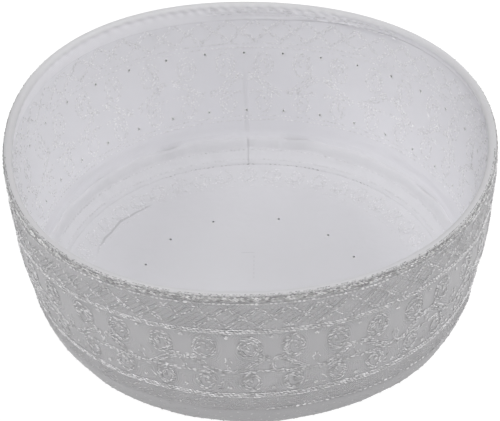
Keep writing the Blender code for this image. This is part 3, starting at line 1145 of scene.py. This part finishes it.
class CAP_OT_seam_tape(CapPiece, bpy.types.Operator):
    """Lay the tape over the crown seam inside, with its small puckers"""
    bl_idname = "prayer_cap.seam_tape"
    bl_label = "Seam tape"

    def execute(self, context):
        surface = self.surface(context)
        form = context.scene.cap_form
        tape, share_across, share_down = flat_cloth("seam_tape_cloth", 720, 14)
        top, low = surface.run_at(TAPE_TOP_TURN), surface.run_at(TAPE_LOW_TURN)
        angle = EYELET_START + share_across * (FULL_TURN - math.radians(0.25))
        lift = np.zeros(len(angle))
        for middle, width, height in TAPE_PUCKERS:
            away = np.abs(np.degrees(angle) % 360 - middle) / width
            lift += np.where(away < 1, height * MM * np.cos(away * np.pi / 2) ** 2, 0.0)
        wrinkles = np.sin(61 * angle + 3 * np.sin(13 * angle)) * np.sin(7 * angle + 1.0) ** 2
        lift = lift * (1 - share_down) ** 2 + 0.12 * MM * wrinkles * (1 - share_down)
        from_edge = np.minimum(share_down, 1 - share_down) * (low - top)
        body = 0.6 * form.facing * smooth_step(-0.5 * MM, 1.6 * MM, from_edge)
        stitched = 0.25 * MM * np.exp(-((share_down - 0.40) / 0.06) ** 2)
        inset = form.cloth + 0.1 * MM + body + lift - stitched
        run = top + (low - top) * share_down + 0.35 * MM * np.sin(23 * angle) * (1 - share_down)
        lay_cloth(tape, share_across * BAND_LENGTH, run, surface.point(angle, run, inset))
        with editing(tape):
            bpy.ops.mesh.normals_make_consistent(inside=False)
        apply_modifier(tape, "SOLIDIFY", thickness=form.facing * 0.4, offset=1.0)
        colours = context.scene.cap_colours
        cotton = material(facing_cotton, "tape_cotton", colours.tape, colours.rim)
        finish_piece(tape, "crown_seam_tape", cotton)
        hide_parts("crown_seam_tape")
        return {"FINISHED"}


class CAP_OT_rim_rows(CapPiece, bpy.types.Operator):
    """Sew the rope, the running line, the chain and the overcast edge of the rim"""
    bl_idname = "prayer_cap.rim_rows"
    bl_label = "Rim rows"

    def execute(self, context):
        thread = context.scene.cap_thread
        rope = ring_rows(ROPE_RUNS, 1.2, ROPE_RUNS, math.radians(16))
        pieces = (
            ("rim_rope", rope, thread.rope, "rope_thread"),
            ("rim_chain", ring_row(CHAIN_RUN, 1.6), thread.chain, "silk_thread"),
            ("rim_line", ring_row(RUNNING_LINE_RUN, 1.9), LINE_STITCH, "rope_thread"),
        )
        for seed, (name, stitches, size, silk) in enumerate(pieces, 11):
            sew_piece(context, name, stitches, size, seed, silk, jitter=0.06, lie=0.18)
        surface = self.surface(context)
        for seed, turn in enumerate(np.radians((18.0, 40.0, 60.0)), 14):
            row = between(ring_row(surface.fold(turn)[0] / MM, 0.95, turn), *BROW_HALF)
            sew_piece(context, "rim_overcast", row, OVERCAST_STITCH, seed, "overcast_thread", over_rim=turn,
                      jitter=0.02, sink=0.40, lie=0.06, sides=5)
        return {"FINISHED"}


class CAP_OT_lattice(CapPiece, bpy.types.Operator):
    """Sew the crossed lines between the rim and the first braid"""
    bl_idname = "prayer_cap.lattice"
    bl_label = "Lattice"

    def execute(self, context):
        thread = context.scene.cap_thread
        lines = filled(lattice_paths(LATTICE_TOP, LATTICE_BOTTOM), (-0.45, 0.45), 1.3)
        pieces = (
            ("lattice_lines", lines, thread.lattice),
            ("lattice_knots", in_metres(LATTICE_KNOT), thread.scroll),
        )
        for seed, (name, stitches, size) in enumerate(pieces, 21):
            sew_piece(context, name, round_lattice(stitches), size, seed, "silk_thread", jitter=0.22,
                      missing=0.25)
        return {"FINISHED"}


class CAP_OT_braids(CapPiece, bpy.types.Operator):
    """Sew the two braid lines that frame the scroll"""
    bl_idname = "prayer_cap.braids"
    bl_label = "Braid lines"

    def execute(self, context):
        offsets = np.array((-0.8, 0.0, 0.8))
        for seed, (name, run) in enumerate(BRAID_RUNS.items(), 31):
            rows = follow_rows(ring_rows(run + offsets, 1.35, 0.4 * offsets, math.radians(12)))
            sew_piece(context, name, rows, context.scene.cap_thread.braid, seed, "braid_thread", jitter=0.10,
                      lie=0.25, sink=0.12)
        return {"FINISHED"}


class CAP_OT_scroll(CapPiece, bpy.types.Operator):
    """Sew the running vine with its curls and blossoms"""
    bl_idname = "prayer_cap.scroll"
    bl_label = "Scroll"

    def execute(self, context):
        vine = filled([vine_path()], (-0.95, -0.3, 0.35, 1.0), 1.5)
        curls = filled((upper_curl(), lower_curl()), (-0.55, 0.0, 0.55), 1.55)
        curls = np.vstack((curls, in_metres(LEAVES)))
        blossoms = blossom_stitches()
        pieces = (
            ("scroll_vine", both_halves(laid_level(vine))),
            ("scroll_curls", both_halves(laid_level(curls))),
            ("scroll_blossoms", round_band(np.vstack((blossoms, blossoms + (EYELET_STEP, 0.0, 0.0))))),
        )
        for seed, (name, stitches) in enumerate(pieces, 41):
            sew_piece(context, name, stitches, context.scene.cap_thread.scroll, seed, "silk_thread",
                      jitter=0.15, missing=0.10)
        return {"FINISHED"}


class CAP_OT_eyelet_rings(CapPiece, bpy.types.Operator):
    """Overcast the edge of each eyelet in the band"""
    bl_idname = "prayer_cap.eyelet_rings"
    bl_label = "Eyelet rings"

    def execute(self, context):
        around = np.arange(8) * FULL_TURN / 8
        cloth = context.scene.cap_form.cloth
        sides = (
            ("eyelet_rings", -0.12, RING_STITCH, None, "silk_thread"),
            ("eyelet_backs", 0.12, RING_BACK_STITCH, cloth, "backing_thread"),
        )
        for seed, (name, past_edge, size, inset, silk) in enumerate(sides, 51):
            reach = EYELET_RADIUS + past_edge * MM
            ring = np.column_stack((reach * np.cos(around), reach * np.sin(around), around))
            pair = np.vstack([ring + (0.0, row, 0.0) for row in EYELET_ROWS])
            rings = repeated(pair, EYELET_STEP, EYELETS)
            sew_piece(context, name, rings, size, seed, silk, inset=inset, jitter=0.02, lie=0.15)
        return {"FINISHED"}


class CAP_OT_crown_rows(CapPiece, bpy.types.Operator):
    """Sew the dashes above the crown seam and the fine quilting round the crown edge"""
    bl_idname = "prayer_cap.crown_rows"
    bl_label = "Crown rows"

    def execute(self, context):
        seam = ring_row(SEAM_DASH_RUN, 2.3)
        seam = seam[seam[:, 0] > SEAM_SHOWS * MM]
        sew_piece(context, "crown_seam_dashes", seam, context.scene.cap_thread.seam, 61, "silk_thread")
        foot = follow_rows(ring_rows(FOOT_RUNS, 2.9, 0.3 * np.array(FOOT_RUNS)))
        sew_piece(context, "foot_quilting", foot, FOOT_STITCH, 63, "quilting_thread", jitter=0.8)
        edge = ring_rows(CROWN_EDGE_RUNS, 5.4, 0.37 * np.arange(len(CROWN_EDGE_RUNS)))
        sew_piece(context, "crown_edge_quilting", edge, EDGE_STITCH, 62, "quilting_thread", "crown_panel",
                  jitter=0.9)
        return {"FINISHED"}


class CAP_OT_reverse(CapPiece, bpy.types.Operator):
    """Sew the flecks that the embroidery leaves on the inside"""
    bl_idname = "prayer_cap.reverse"
    bl_label = "Reverse flecks"

    def execute(self, context):
        surface = self.surface(context)
        cloth = surface.form.cloth
        fleck = context.scene.cap_thread.fleck
        lattice = filled(lattice_paths(7.2 * MM, 16.0 * MM), (-0.5, 0.5), 1.15)
        braid_runs = [run + offset for run in BRAID_RUNS.values() for offset in (-0.9, 0.9)]
        braids = follow_rows(ring_rows(braid_runs, 1.7, (0.0, 0.5, 0.0, 0.5)))
        vine = filled([vine_path()], (-1.2, -0.4, 0.4, 1.2), 1.2)
        curls = filled((upper_curl(), lower_curl()), (-0.4, 0.4), 1.3)
        loose = ring_rows(CROWN_FLECK_RUNS, 3.1, 0.3 * np.array(CROWN_FLECK_RUNS))
        tape = ring_rows(TAPE_STITCH_RUNS, 1.9, (0.0, 0.0))
        hem = between(ring_rows(HEM_STITCH_RUNS, 2.9, (0.0, 0.4, 0.7)), *NAPE_STITCHES)
        on_hem = surface.lined + surface.form.facing
        pieces = (
            ("reverse_lattice", "side_band", round_lattice(lattice), fleck, cloth, 0.3),
            ("reverse_braids", "side_band", braids, fleck, cloth, 0.12),
            ("reverse_scroll", "side_band", both_halves(np.vstack((vine, curls))), fleck, cloth, 0.35),
            ("reverse_crown", "crown_panel", np.vstack((self.crown_curls(), loose)), fleck, cloth, 0.55),
            ("tape_stitches", "crown_seam_tape", tape, fleck, cloth + 0.75 * MM, 0.1),
            ("hem_stitches", "rim_hem", hem, HEM_STITCH, on_hem, 0.08),
        )
        for seed, (name, slot, stitches, size, inset, jitter) in enumerate(pieces, 71):
            silk = "crown_backing" if slot.startswith("crown") else "backing_thread"
            sew_piece(context, name, stitches, size, seed, silk, slot, inset=inset, jitter=jitter,
                      missing=0.05, lie=0.16, sides=5)
        edge = between(ring_row(surface.run_at(TAPE_LOW_TURN) / MM - 0.1, 2.1), *NAPE_TAPE)
        sew_piece(context, "tape_edge_stitches", edge, TAPE_EDGE_STITCH, 77, "grey_thread",
                  "crown_seam_tape", inset=cloth, missing=0.1)
        return {"FINISHED"}

    def crown_curls(self):
        """The backs of a ring of small curls on the crown."""
        loop = np.linspace(0.0, FULL_TURN * 1.6, 24)
        reach = np.linspace(4.2, 1.4, 24) * MM
        curl = np.column_stack((reach * np.cos(loop) * 1.15, CROWN_CURL_RUN * MM + reach * np.sin(loop)))
        return repeated(filled([curl], (-0.35, 0.35), 1.2), EYELET_STEP * 0.75, 48)


class CAP_OT_stage(bpy.types.Operator):
    """Set up the pale floor, the soft lights and the camera"""
    bl_idname = "prayer_cap.stage"
    bl_label = "Stage"

    def execute(self, context):
        self.floor(context)
        self.lights(context)
        self.camera(context)
        return {"FINISHED"}

    def floor(self, context):
        deselect_all()
        bpy.ops.mesh.primitive_circle_add(vertices=96, radius=9.0, fill_type="NGON")
        floor = bpy.context.object
        floor.name = "floor"
        floor.location.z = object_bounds()[0].z - 0.0001
        paint = Paint("pale_floor", 0.9, specular=0.1)
        tint = paint.noise(6.0, 2.0)
        colour = context.scene.cap_colours.floor
        paint.colour(paint.mix(tint, rgba(colour, 0.99), rgba(colour, 1.0)))
        paint.shader.inputs["Emission Color"].default_value = (1.0, 1.0, 1.0, 1.0)
        paint.shader.inputs["Emission Strength"].default_value = 0.98
        floor.data.materials.append(paint.material)
        floor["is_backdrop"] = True

    def lights(self, context):
        world = bpy.data.worlds.new("studio_white")
        world.use_nodes = True
        background = world.node_tree.nodes["Background"]
        background.inputs["Color"].default_value = (1.0, 1.0, 1.0, 1.0)
        background.inputs["Strength"].default_value = 0.02
        context.scene.world = world
        for name, place, size, power in LAMPS:
            bpy.ops.object.light_add(type="AREA", location=place)
            lamp = bpy.context.object
            lamp.name = name
            lamp.data.size = size
            lamp.data.energy = power
            away = Vector(place) - CAMERA_TARGET
            lamp.rotation_euler = away.to_track_quat("Z", "Y").to_euler()
        context.scene.view_settings.view_transform = "Standard"

    def camera(self, context):
        bpy.ops.object.camera_add()
        camera = bpy.context.object
        sine, cosine = math.sin(CAMERA_ELEVATION), math.cos(CAMERA_ELEVATION)
        level, rise = Vector((1.0, 0.0, 0.0)), Vector((0.0, sine, cosine))
        back = Vector((0.0, -cosine, sine))
        right = level * math.cos(CAMERA_ROLL) - rise * math.sin(CAMERA_ROLL)
        up = level * math.sin(CAMERA_ROLL) + rise * math.cos(CAMERA_ROLL)
        place = Matrix((right, up, back)).transposed().to_4x4()
        place.translation = CAMERA_TARGET + back * CAMERA_DISTANCE
        camera.matrix_world = place
        camera.data.lens = CAMERA_LENS
        camera.data.sensor_width = 36.0
        camera.data.clip_start = 0.05
        context.scene.camera = camera


GROUPS = {"cap_form": CapForm, "cap_thread": CapThread, "cap_colours": CapColours}
OPERATORS = (
    CAP_OT_side_band, CAP_OT_crown, CAP_OT_rim_hem, CAP_OT_seam_tape, CAP_OT_rim_rows, CAP_OT_lattice,
    CAP_OT_braids, CAP_OT_scroll, CAP_OT_eyelet_rings, CAP_OT_crown_rows, CAP_OT_reverse, CAP_OT_stage,
)


class CAP_PT_pieces(bpy.types.Panel):
    """The cap's pieces, in the order in which they are made"""
    bl_label = "Prayer Cap"
    bl_idname = "CAP_PT_pieces"
    bl_space_type = "VIEW_3D"
    bl_region_type = "UI"
    bl_category = "Prayer Cap"

    def draw(self, context):
        layout = self.layout
        for group in GROUPS:
            values = getattr(context.scene, group)
            box = layout.box()
            for name in values.__annotations__:
                box.prop(values, name)
        for operator in OPERATORS:
            layout.operator(operator.bl_idname)


def register():
    for item in (*GROUPS.values(), *OPERATORS, CAP_PT_pieces):
        bpy.utils.register_class(item)
    for name, group in GROUPS.items():
        setattr(bpy.types.Scene, name, PointerProperty(type=group))


def unregister():
    for name in GROUPS:
        delattr(bpy.types.Scene, name)
    for item in reversed((*GROUPS.values(), *OPERATORS, CAP_PT_pieces)):
        bpy.utils.unregister_class(item)


def main():
    register()
    bpy.ops.prayer_cap.side_band()
    bpy.ops.prayer_cap.crown()
    bpy.ops.prayer_cap.rim_hem()
    bpy.ops.prayer_cap.seam_tape()
    bpy.ops.prayer_cap.rim_rows()
    bpy.ops.prayer_cap.lattice()
    bpy.ops.prayer_cap.braids()
    bpy.ops.prayer_cap.scroll()
    bpy.ops.prayer_cap.eyelet_rings()
    bpy.ops.prayer_cap.crown_rows()
    bpy.ops.prayer_cap.reverse()
    bpy.ops.prayer_cap.stage()


if __name__ == "__main__":
    main()
